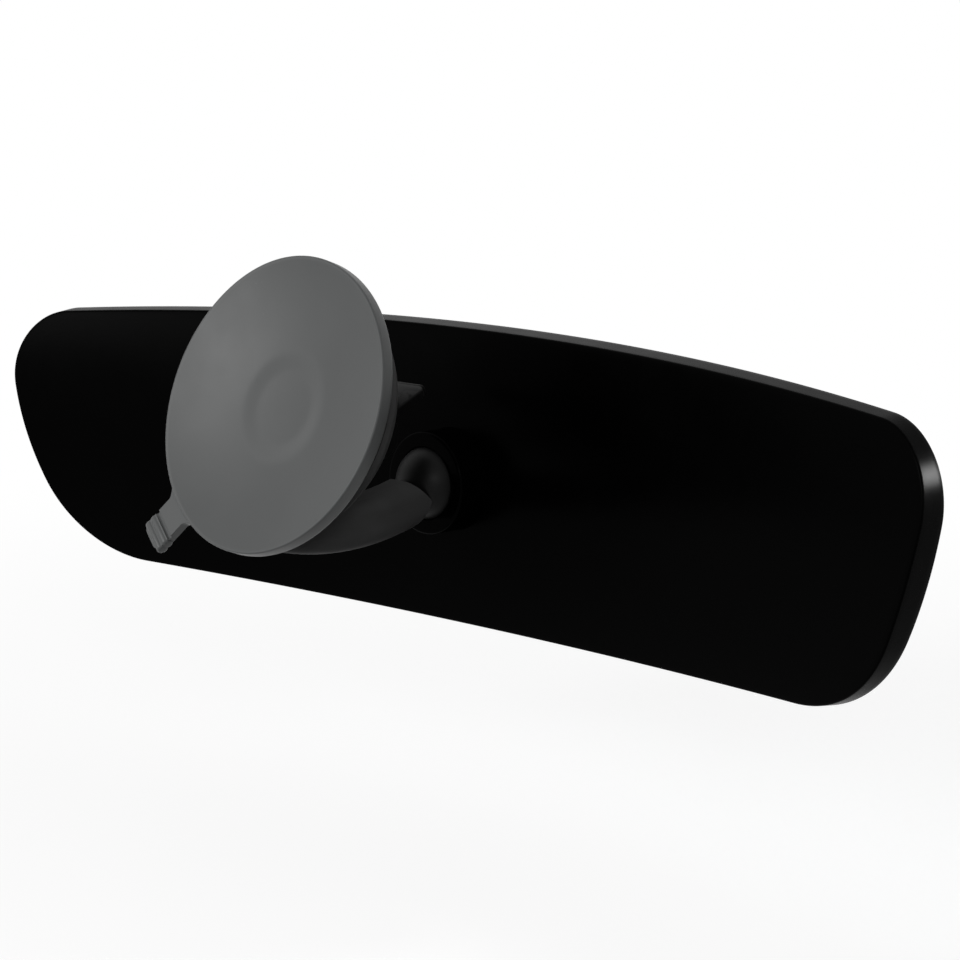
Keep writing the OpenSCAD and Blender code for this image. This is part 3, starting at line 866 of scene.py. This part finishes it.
@dataclass
class SuctionCup:
    """The rubber cup with its pull tab, modelled on the cup's own axis in millimetres."""

    radius: float = 32.5
    lip: float = 0.4
    hollow: float = 4.5
    plateau: float = 0.5
    plateau_r: tuple[float, float] = (7.4, 13.0)
    edge_t: float = 3.2
    edge_ease: float = 0.7
    edge_drop: float = 0.6
    back_in: float = 0.9
    back_h: float = 10.0
    back_r: float = 14.0
    boss_r: float = 8.5
    boss_h: float = 12.4
    boss_foot: Point2 = (1.0, 0.6)
    boss_ease: float = 0.5
    post_r: float = 4.5
    tab_w: float = 7.6
    tab_len: float = 11.0
    tab_turn: float = 40.0
    tab_s: float = 0.8
    tab_t: float = 2.0
    tab_root: float = 2.0
    root_in: float = 0.6
    root_flare: float = 2.4
    flare_power: float = 1.5
    tab_edge: float = 0.3
    fold_at: float = 6.2
    fold_r: float = 0.6
    rib_r: float = 1.25
    rib_spare: float = 0.6
    rib_edge: float = 0.6
    grip_pitch: float = 1.8
    ribs: int = 2
    dish_steps: int = 56
    spin_steps: int = 144

    def frame(self) -> Matrix:
        """Matrix from the cup's axes in metres to the row frame."""
        return Matrix.Rotation(-math.radians(90.0 + CUP_PITCH), 4, "X")

    def _profile(self) -> list[Point2]:
        """Half profile (radius, distance behind the sealing plane) from the middle of the hollow.

        Returns:
            Points from the raised middle over the lip to the boss on the back.
        """
        seal_r = self.radius - self.lip
        bowl_r = (seal_r**2 + self.hollow**2) / (2 * self.hollow)
        inner, outer = self.plateau_r
        points: list[Point2] = []
        for i in range(self.dish_steps + 1):
            r = seal_r * i / self.dish_steps
            fade = min(1.0, max(0.0, (outer - r) / (outer - inner)))
            rise = self.plateau * fade * fade * (3.0 - 2.0 * fade)
            points.append((r, self.hollow - rise - bowl_r + math.sqrt(bowl_r**2 - r * r)))
        points += arc(seal_r, self.lip, self.lip, range(-75, 1, 15))
        points += arc(self.radius - self.edge_ease, self.edge_t - self.edge_drop, self.edge_ease, range(0, 76, 15))
        slope = (self.back_h - self.edge_t) / (self.radius - self.back_r)
        rim, e = self.radius - self.back_in, self.boss_ease
        for i in range(1, 9):
            r = rim - (rim - self.back_r) * i / 8
            points.append((r, self.edge_t + slope * (self.radius - r)))
        points += [(self.boss_r + self.boss_foot[0], self.back_h), (self.boss_r, self.back_h + self.boss_foot[1])]
        points += [(self.boss_r, self.boss_h - e), (self.boss_r - e, self.boss_h)]
        return points + [(self.post_r, self.boss_h), (self.post_r, self.back_h)]

    def _bowl(self) -> Piece:
        """Spins the profile around the cup's axis."""
        turns = [math.tau * i / self.spin_steps for i in range(self.spin_steps)]
        rows = [[(r * MM * math.cos(t), r * MM * math.sin(t), s * MM) for t in turns] for r, s in self._profile()]
        return Bench.net("cup_bowl", rows)

    def _tab_outline(self) -> list[Point2]:
        """Outline of the tab, flared at its root and rounded at its tip, anticlockwise in metres."""
        half, flare, corner = self.tab_w / 2, self.root_flare, self.tab_w / 4
        tip = self.radius + self.tab_len
        foot = self.radius - self.root_in
        side = [(self.radius - self.tab_root, -half - flare), (foot, -half - flare)]
        for a in range(15, 91, 15):
            t = math.radians(a)
            side.append((foot + flare * math.sin(t), -half - flare * (1 - math.sin(t)) ** self.flare_power))
        side += arc(tip - corner, corner - half, corner, range(-90, 1, 15))
        return [(x * MM, y * MM) for x, y in side + [(x, -y) for x, y in reversed(side)]]

    def _tab(self) -> Piece:
        """Models the pull tab as a rounded strip with a fold groove and ribs across its end."""
        strip = Bench.slab("pull_tab", self._tab_outline(), self.tab_t * MM)
        Bench.place(strip, Matrix.Translation((0, 0, self.tab_s * MM)))
        cutter = Bench.rod("fold", self.fold_r, 3 * self.tab_w, (self.radius + self.fold_at, 0, self.tab_s))
        Bench.cut(strip, cutter)
        Bench.round_edges(strip, self.tab_edge * MM, degrees=30.0)
        tip = self.radius + self.tab_len
        ribs = []
        for i in range(self.ribs):
            place = (tip - self.rib_r - i * self.grip_pitch, 0, self.tab_s + self.tab_t / 2)
            rib = Bench.rod("rib", self.rib_r, self.tab_w + self.rib_spare, place)
            Bench.round_edges(rib, self.rib_edge * MM, segments=4)
            ribs.append(rib)
        tab = Bench.join([strip, *ribs], "pull_tab")
        Bench.place(tab, Matrix.Rotation(math.radians(90.0 + self.tab_turn), 4, "Z"))
        return tab

    def build(self, palette: Palette) -> Piece:
        """Models the cup and puts it in place.

        Args:
            palette: Finishes.

        Returns:
            The cup.
        """
        cup = Bench.join([self._bowl(), self._tab()], "cup_rubber")
        Bench.place(cup, self.frame())
        Bench.smooth(cup, degrees=40.0)
        return Part("suction_cup", Slot.RUBBER, Body.CUP, Finish.RUBBER).enter(cup, palette)


@dataclass
class CamLever:
    """The locking lever: two cam cheeks, a hub and a handle with a finger lip, in millimetres."""

    pin_s: float = 26.8
    hub_r: float = 5.0
    travel: float = 2.5
    turn: float = 55.0
    angle: float = 43.0
    length: float = 16.0
    thick: float = 2.0
    width: float = 16.0
    cheek_x: float = 3.3
    pin_r: float = 1.5
    offset: float = 1.6
    lip_r: float = 1.4
    cheek_short: float = 2.0
    cam_range: tuple[int, int, int] = (120, 186, 5)
    hub_from: float = 172.0
    hub_steps: int = 30
    plate_in: float = 1.0
    lip_short: float = 3.6
    lip_ease: float = 0.8
    tip_r: float = 2.4
    edge: float = 0.35

    def _along(self, t: float, m: float) -> Point2:
        """Point at a length along the handle and an offset above it, in metres."""
        a = math.radians(self.angle)
        x = t * math.cos(a) - m * math.sin(a)
        y = t * math.sin(a) + m * math.cos(a)
        return (x * MM, y * MM)

    def _cam(self, degrees: float) -> Point2:
        """Point of the even-rise cam, in metres."""
        a = math.radians(degrees)
        height = self.hub_r + self.travel * (180.0 - degrees) / self.turn
        rate = self.travel / math.radians(self.turn)
        x = height * math.cos(a) + rate * math.sin(a)
        y = height * math.sin(a) - rate * math.cos(a)
        return (x * MM, y * MM)

    def _cheek_outline(self) -> list[Point2]:
        """Outline of one cheek, anticlockwise from where the handle leaves the hub."""
        top = self.offset + self.thick
        end = self.length - self.cheek_short
        points = [self._along(end, self.offset), self._along(end, top), self._along(self.hub_r, top)]
        points += [self._cam(d) for d in range(*self.cam_range)]
        leave = self.angle + math.degrees(math.asin(self.offset / self.hub_r)) + 360.0
        first, steps = self.hub_from, self.hub_steps
        around = [first + (leave - first) * i / steps for i in range(steps + 1)]
        return points + [(x * MM, y * MM) for x, y in arc(0, 0, self.hub_r, around)]

    def _plate(self) -> Piece:
        """Models the handle's plate with rounded corners at its tip."""
        half, start, r = self.width / 2, self.hub_r + self.plate_in, self.tip_r
        outline = [(start, half), (start, -half), (self.length - r, -half)]
        outline += arc(self.length - r, r - half, r, range(-75, 1, 15))
        outline += [(x, -y) for x, y in reversed(outline[2:])]
        plate = Bench.slab("handle_plate", [(x * MM, y * MM) for x, y in outline], self.thick * MM)
        Bench.round_edges(plate, self.edge * MM)
        # The slab's height becomes the handle's offset, its breadth the lever's width
        Bench.place(plate, Matrix(((1, 0, 0, 0), (0, 0, 1, self.offset * MM), (0, -1, 0, 0), (0, 0, 0, 1))))
        return plate

    def _lip(self) -> Piece:
        """Models the finger lip along the handle's tip."""
        middle = (self.length, self.offset + self.thick - self.lip_r, 0)
        lip = Bench.rod("finger_lip", self.lip_r, self.width - self.lip_short, middle, upright=True)
        Bench.round_edges(lip, self.lip_ease * MM, segments=4)
        return lip

    def build(self, palette: Palette, cup_frame: Matrix) -> Piece:
        """Models the lever and puts it on its pin.

        Args:
            palette: Finishes.
            cup_frame: Matrix of the cup's axes.

        Returns:
            The lever.
        """
        parts = []
        for side in (self.cheek_x, -self.width / 2):
            cheek = Bench.slab("cheek", self._cheek_outline(), (self.width / 2 - self.cheek_x) * MM)
            Bench.round_edges(cheek, self.edge * MM, degrees=25.0)
            Bench.place(cheek, Matrix.Translation((0, 0, side * MM)))
            parts.append(cheek)
        handle = Bench.join([self._plate(), self._lip()], "handle")
        Bench.place(handle, Matrix.Rotation(math.radians(self.angle), 4, "Z"))
        lever = Bench.join([*parts, handle], "lever_skin")
        side_on = Matrix(((0, 0, 1, 0), (0, -1, 0, 0), (1, 0, 0, self.pin_s * MM), (0, 0, 0, 1)))
        Bench.place(lever, cup_frame @ side_on)
        Bench.smooth(lever)
        return Part("cam_lever", Slot.DARK_PLASTIC, Body.LEVER, Finish.LEVER).enter(lever, palette)


@dataclass
class BentArm:
    """The moulded arm with eased edges, swept along its bend, in millimetres."""

    bend_r: float = 70.0
    slope: float = 24.5
    stub_s: float = 20.5
    width: float = 11.0
    height: float = 10.8
    top_r: tuple[float, float] = (2.0, 4.6)
    low_r: float = 4.2
    clear_r: float = 12.253
    mouth_free: float = 47.6
    ball_clear_r: float = 8.6
    end_drop: float = 5.95
    end_slant: float = 48.7
    spare: float = 3.0
    edge: float = 0.35
    steps: int = 28
    sweep_steps: int = 96

    def _section(self, share: float) -> list[Point2]:
        """Cross-section of the arm, whose upper edges grow rounder towards the ball.

        Args:
            share: Place along the arm, from its root (0) to the ball (1).

        Returns:
            Points (distance from the bend's axis, x), the arm's top first.
        """
        points: list[Point2] = []
        top_r = self.top_r[0] + (self.top_r[1] - self.top_r[0]) * share
        half, inner, outer = self.width / 2, self.bend_r - self.height / 2, self.bend_r + self.height / 2
        corners = (
            (inner + top_r, half - top_r, top_r, 90),
            (inner + top_r, top_r - half, top_r, 180),
            (outer - self.low_r, self.low_r - half, self.low_r, 270),
            (outer - self.low_r, half - self.low_r, self.low_r, 0),
        )
        for rho, x, r, first in corners:
            points += arc(rho, x, r, range(first, first + 91, 10))
        return points

    def _collar_sweep(self) -> Piece:
        """Room for the swinging collar: a sphere around the ball without the cone that the mouth leaves free."""
        profile = [(0.0, 0.0)]
        half = self.sweep_steps // 2
        for i in range(half + 1):
            a = math.radians(self.mouth_free + (180.0 - self.mouth_free) * i / half)
            profile.append((self.clear_r * math.sin(a), -self.clear_r * math.cos(a)))
        return Bench.turned("collar_sweep", profile, BALL, self.sweep_steps)

    def _ball_room(self) -> Piece:
        """Room for the ball itself."""
        Bench.clear_selection()
        bpy.ops.mesh.primitive_uv_sphere_add(
            segments=self.sweep_steps,
            ring_count=self.sweep_steps // 2,
            radius=self.ball_clear_r * MM,
            location=[c * MM for c in BALL],
        )
        return bpy.context.active_object

    def _end_block(self) -> Piece:
        """Block in front of the slanted plane that the arm ends at."""
        size = 4 * self.width
        return Bench.block(
            size,
            Matrix.Translation([c * MM for c in BALL])
            @ Matrix.Rotation(math.radians(self.end_slant), 4, "X")
            @ Matrix.Translation((0, (size / 2 - self.end_drop) * MM, 0)),
        )

    def _root_block(self, axis_y: float, axis_z: float, root: float) -> Piece:
        """Block behind the joint with the housing, which leaves the arm's root with plain edges.

        Args:
            axis_y: Y of the bend's axis.
            axis_z: Z of the bend's axis.
            root: Angle of the joint around the bend's axis.

        Returns:
            The block.
        """
        size = 2 * self.width
        return Bench.block(
            size,
            Matrix.Translation((0, axis_y * MM, axis_z * MM))
            @ Matrix.Rotation(root, 4, "X")
            @ Matrix.Translation((0, -size / 2 * MM, -self.bend_r * MM)),
        )

    def build(self, palette: Palette) -> Piece:
        """Models the arm and shapes its end around the ball and the swinging socket.

        Args:
            palette: Finishes.

        Returns:
            The arm.
        """
        slope, pitch = math.radians(self.slope), math.radians(CUP_PITCH)
        axis_y = BALL[1] - self.bend_r * math.sin(slope)
        axis_z = BALL[2] + self.bend_r * math.cos(slope)
        lift = self.stub_s - axis_y * math.cos(pitch) + axis_z * math.sin(pitch)
        root = math.asin(lift / self.bend_r) - pitch
        rows = []
        first = root - self.spare / self.bend_r
        for i in range(self.steps + 1):
            a = first + (slope - first) * i / self.steps
            share = max(0.0, (a - root) / (slope - root))
            rows.append(
                [
                    (x * MM, (axis_y + rho * math.sin(a)) * MM, (axis_z - rho * math.cos(a)) * MM)
                    for rho, x in self._section(share)
                ]
            )
        arm = Bench.net("arm_skin", rows)
        for cutter in (self._collar_sweep(), self._ball_room(), self._end_block()):
            Bench.cut(arm, cutter)
        Bench.round_edges(arm, self.edge * MM, degrees=45.0)
        Bench.cut(arm, self._root_block(axis_y, axis_z, root))
        Bench.smooth(arm)
        return Part("arm", Slot.DARK_PLASTIC, Body.BASE, Finish.SATIN).enter(arm, palette)


@dataclass
class CarriedNodes:
    """CAD nodes whose shapes stay as they are and only get a finish."""

    finishes: dict[str, Finish] = field(
        default_factory=lambda: {
            "mirror_glass": Finish.SILVER,
            "backing_film": Finish.FILM,
            "glass_pad": Finish.FOAM,
            "socket_ring": Finish.NYLON,
            "socket_seat": Finish.NYLON,
            "spring_washer": Finish.STEEL,
            "retainer_plate": Finish.STEEL,
            "retainer_screws": Finish.STEEL,
            "ball_stud": Finish.BALL,
            "base_housing": Finish.SATIN,
            "arm_screws": Finish.STEEL,
            "cam_washer": Finish.STEEL,
            "cup_stem": Finish.SATIN,
            "lever_pin": Finish.STEEL,
        }
    )

    def dress(self, nodes: dict[str, Piece], palette: Palette) -> None:
        """Dresses every carried node.

        Args:
            nodes: The frame's nodes by name.
            palette: Finishes.
        """
        for name, finish in self.finishes.items():
            palette.dress(nodes[name], finish)
            log.info("%s: %s", name, finish.value.name)


@dataclass(frozen=True)
class SoftBox:
    """A soft box: its place, the point that it faces, its size in metres, its power and its spread."""

    name: str
    at: Point3
    aim: Point3
    size: Point2
    watts: float
    spread: float = 180.0

    def hang(self) -> None:
        """Adds the light."""
        data = bpy.data.lights.new(self.name, "AREA")
        data.shape = "RECTANGLE"
        data.size, data.size_y = self.size
        data.energy = self.watts
        data.spread = math.radians(self.spread)
        light = bpy.data.objects.new(self.name, data)
        light.location = self.at
        light.visible_camera = False
        light.rotation_euler = (Vector(self.aim) - Vector(self.at)).to_track_quat("-Z", "Y").to_euler()
        bpy.context.scene.collection.objects.link(light)


@dataclass
class Studio:
    """White studio: floor, soft boxes, even surroundings and the camera."""

    camera_at: Point3 = (0.4528, -0.4020, 0.0869)
    aim: Point3 = (-0.0009, 0.0646, -0.0242)
    roll: float = 0.3
    lens: float = 108.2
    sensor: float = 36.0
    near: float = 0.01
    floor_z: float = -0.105
    world_level: float = 0.3
    floor_level: float = 0.35
    floor_bounce: float = 0.15
    floor_glow: float = 0.79
    floor_fade: tuple[float, float] = (0.12, 0.55)
    floor_size: float = 60.0
    boxes: tuple[SoftBox, ...] = (
        SoftBox("key_box", (-0.52, -1.02, 0.33), (0, 0.03, 0), (0.35, 0.35), 6.3),
        SoftBox("side_box", (0.85, -0.7, 0.4), (0, 0.03, 0), (0.22, 0.22), 2.0),
        SoftBox("end_box", (0.2156, 0.1217, 0.0438), (0.14, 0.042, -0.003), (0.036, 0.05), 0.035, 26.0),
    )

    def camera(self) -> None:
        """Sets the camera at the photograph's angle."""
        data = bpy.data.cameras.new("photo_camera")
        data.lens = self.lens
        data.sensor_width = self.sensor
        data.clip_start = self.near
        camera = bpy.data.objects.new("photo_camera", data)
        bpy.context.scene.collection.objects.link(camera)
        way = Vector(self.aim) - Vector(self.camera_at)
        turn = way.to_track_quat("-Z", "Y").to_matrix().to_4x4()
        camera.matrix_world = (
            Matrix.Translation(self.camera_at) @ turn @ Matrix.Rotation(math.radians(self.roll), 4, "Z")
        )
        bpy.context.scene.camera = camera

    @staticmethod
    def seen_white(tree: Tree) -> Socket:
        """Adds a factor that is 1 for camera, glossy and transmission rays.

        Args:
            tree: Node tree that gets the nodes.

        Returns:
            The factor's socket.
        """
        path = tree.nodes.new("ShaderNodeLightPath")
        total = path.outputs["Is Camera Ray"]
        for ray in ("Is Glossy Ray", "Is Transmission Ray"):
            either = tree.nodes.new("ShaderNodeMath")
            either.operation = "MAXIMUM"
            tree.links.new(total, either.inputs[0])
            tree.links.new(path.outputs[ray], either.inputs[1])
            total = either.outputs["Value"]
        return total

    @staticmethod
    def mixed(tree: Tree, factor: Socket, first: Socket, second: Socket) -> Socket:
        """Mixes two shaders by a factor and returns the result."""
        node = tree.nodes.new("ShaderNodeMixShader")
        for socket, target in zip((factor, first, second), node.inputs):
            tree.links.new(socket, target)
        return node.outputs["Shader"]

    def surroundings(self) -> None:
        """Lights the object evenly and shows white to the camera."""
        world = bpy.data.worlds.new("studio_white")
        world.use_nodes = True
        tree = world.node_tree
        tree.nodes.clear()
        output = tree.nodes.new("ShaderNodeOutputWorld")
        levels = []
        for strength in (self.world_level, 1.0):
            node = tree.nodes.new("ShaderNodeBackground")
            node.inputs["Color"].default_value = (1, 1, 1, 1)
            node.inputs["Strength"].default_value = strength
            levels.append(node.outputs["Background"])
        tree.links.new(self.mixed(tree, self.seen_white(tree), *levels), output.inputs["Surface"])
        bpy.context.scene.world = world

    @staticmethod
    def glow(tree: Tree, strength: float) -> Socket:
        """Adds a white glow of a strength and returns its shader socket."""
        node = tree.nodes.new("ShaderNodeEmission")
        node.inputs["Color"].default_value = (1, 1, 1, 1)
        node.inputs["Strength"].default_value = strength
        return node.outputs["Emission"]

    @staticmethod
    def matt(tree: Tree, level: float) -> Socket:
        """Adds a matt grey of a level and returns its shader socket."""
        node = tree.nodes.new("ShaderNodeBsdfDiffuse")
        node.inputs["Color"].default_value = (level, level, level, 1)
        return node.outputs["BSDF"]

    def away(self, tree: Tree) -> Socket:
        """Adds a factor that grows from 0 under the object to 1 further away.

        Args:
            tree: Node tree of the floor's material.

        Returns:
            The factor's socket.
        """
        coords = tree.nodes.new("ShaderNodeTexCoord")
        distance = tree.nodes.new("ShaderNodeVectorMath")
        distance.operation = "LENGTH"
        tree.links.new(coords.outputs["Object"], distance.inputs[0])
        fade = tree.nodes.new("ShaderNodeMapRange")
        fade.interpolation_type = "SMOOTHSTEP"
        fade.inputs["From Min"].default_value, fade.inputs["From Max"].default_value = self.floor_fade
        tree.links.new(distance.outputs["Value"], fade.inputs["Value"])
        return fade.outputs["Result"]

    def floor(self) -> None:
        """Lays a plain pale floor that the camera sees as white, with the object's soft shadow."""
        Bench.clear_selection()
        bpy.ops.mesh.primitive_plane_add(size=self.floor_size, location=(0, 0, self.floor_z))
        floor = bpy.context.active_object
        floor.name = "studio_floor"
        material = bpy.data.materials.new("floor_white")
        material.use_nodes = True
        tree = material.node_tree
        tree.nodes.clear()
        output = tree.nodes.new("ShaderNodeOutputMaterial")
        pale, bounce = (self.matt(tree, level) for level in (self.floor_level, self.floor_bounce))
        shaded = tree.nodes.new("ShaderNodeAddShader")
        tree.links.new(self.glow(tree, self.floor_glow), shaded.inputs[0])
        tree.links.new(pale, shaded.inputs[1])
        shown = self.mixed(tree, self.away(tree), shaded.outputs["Shader"], self.glow(tree, 1.0))
        surface = self.mixed(tree, self.seen_white(tree), bounce, shown)
        tree.links.new(surface, output.inputs["Surface"])
        floor.data.materials.append(material)

    def set_up(self) -> None:
        """Builds the whole studio."""
        self.camera()
        self.surroundings()
        self.floor()
        for box in self.boxes:
            box.hang()
        bpy.context.scene.view_settings.view_transform = "Standard"


def main() -> None:
    """Builds the mirror's pieces in order and sets up the studio."""
    logging.basicConfig(level=logging.INFO, format="%(name)s %(message)s")
    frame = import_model()
    palette = Palette()
    Studio().set_up()
    CarriedNodes().dress(frame["nodes"], palette)
    Head().build(palette)
    SocketCollar().build(palette)
    cup = SuctionCup()
    cup.build(palette)
    CamLever().build(palette, cup.frame())
    BentArm().build(palette)


if __name__ == "__main__":
    main()
